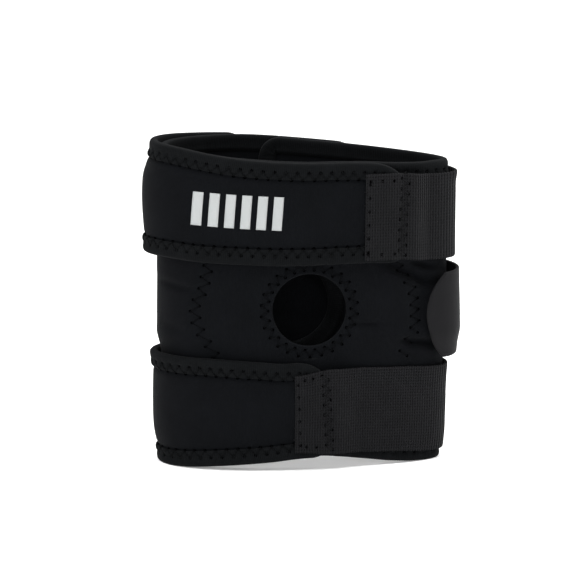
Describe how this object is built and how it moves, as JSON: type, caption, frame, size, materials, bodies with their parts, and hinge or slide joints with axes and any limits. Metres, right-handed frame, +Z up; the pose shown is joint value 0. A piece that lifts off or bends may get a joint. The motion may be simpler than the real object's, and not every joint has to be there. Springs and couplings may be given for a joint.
{
  "type": "knee support",
  "caption": "Neoprene knee support standing open: a sleeve with a round knee opening, wide taped bands above and below it, elastic straps round the side and a rounded hook tab.",
  "frame": {"origin": "centre of the bounding box's base, on the surface that the support stands on", "axes": "+Z up along the leg, -Y out through the knee opening to the front, +X to the right of someone who looks at the front"},
  "size_m": [0.1892, 0.0882, 0.1956],
  "materials": {
    "neoprene": "matte knit-faced foam",
    "binding_tape": "matte finely ribbed tape",
    "elastic_webbing": "matte woven elastic",
    "hook_tab": "smooth dull tab"
  },
  "bodies": {
    "root": {"body_panel": "neoprene", "body_binding": "binding_tape", "upper_band": "neoprene", "upper_band_binding": "binding_tape", "lower_band": "neoprene", "lower_band_binding": "binding_tape", "upper_strap": "elastic_webbing", "upper_hook_tab": "hook_tab", "lower_strap": "elastic_webbing", "lower_hook_tab": "hook_tab", "middle_strap": "elastic_webbing", "middle_hook_tab": "hook_tab"}
  },
  "joints": []
}
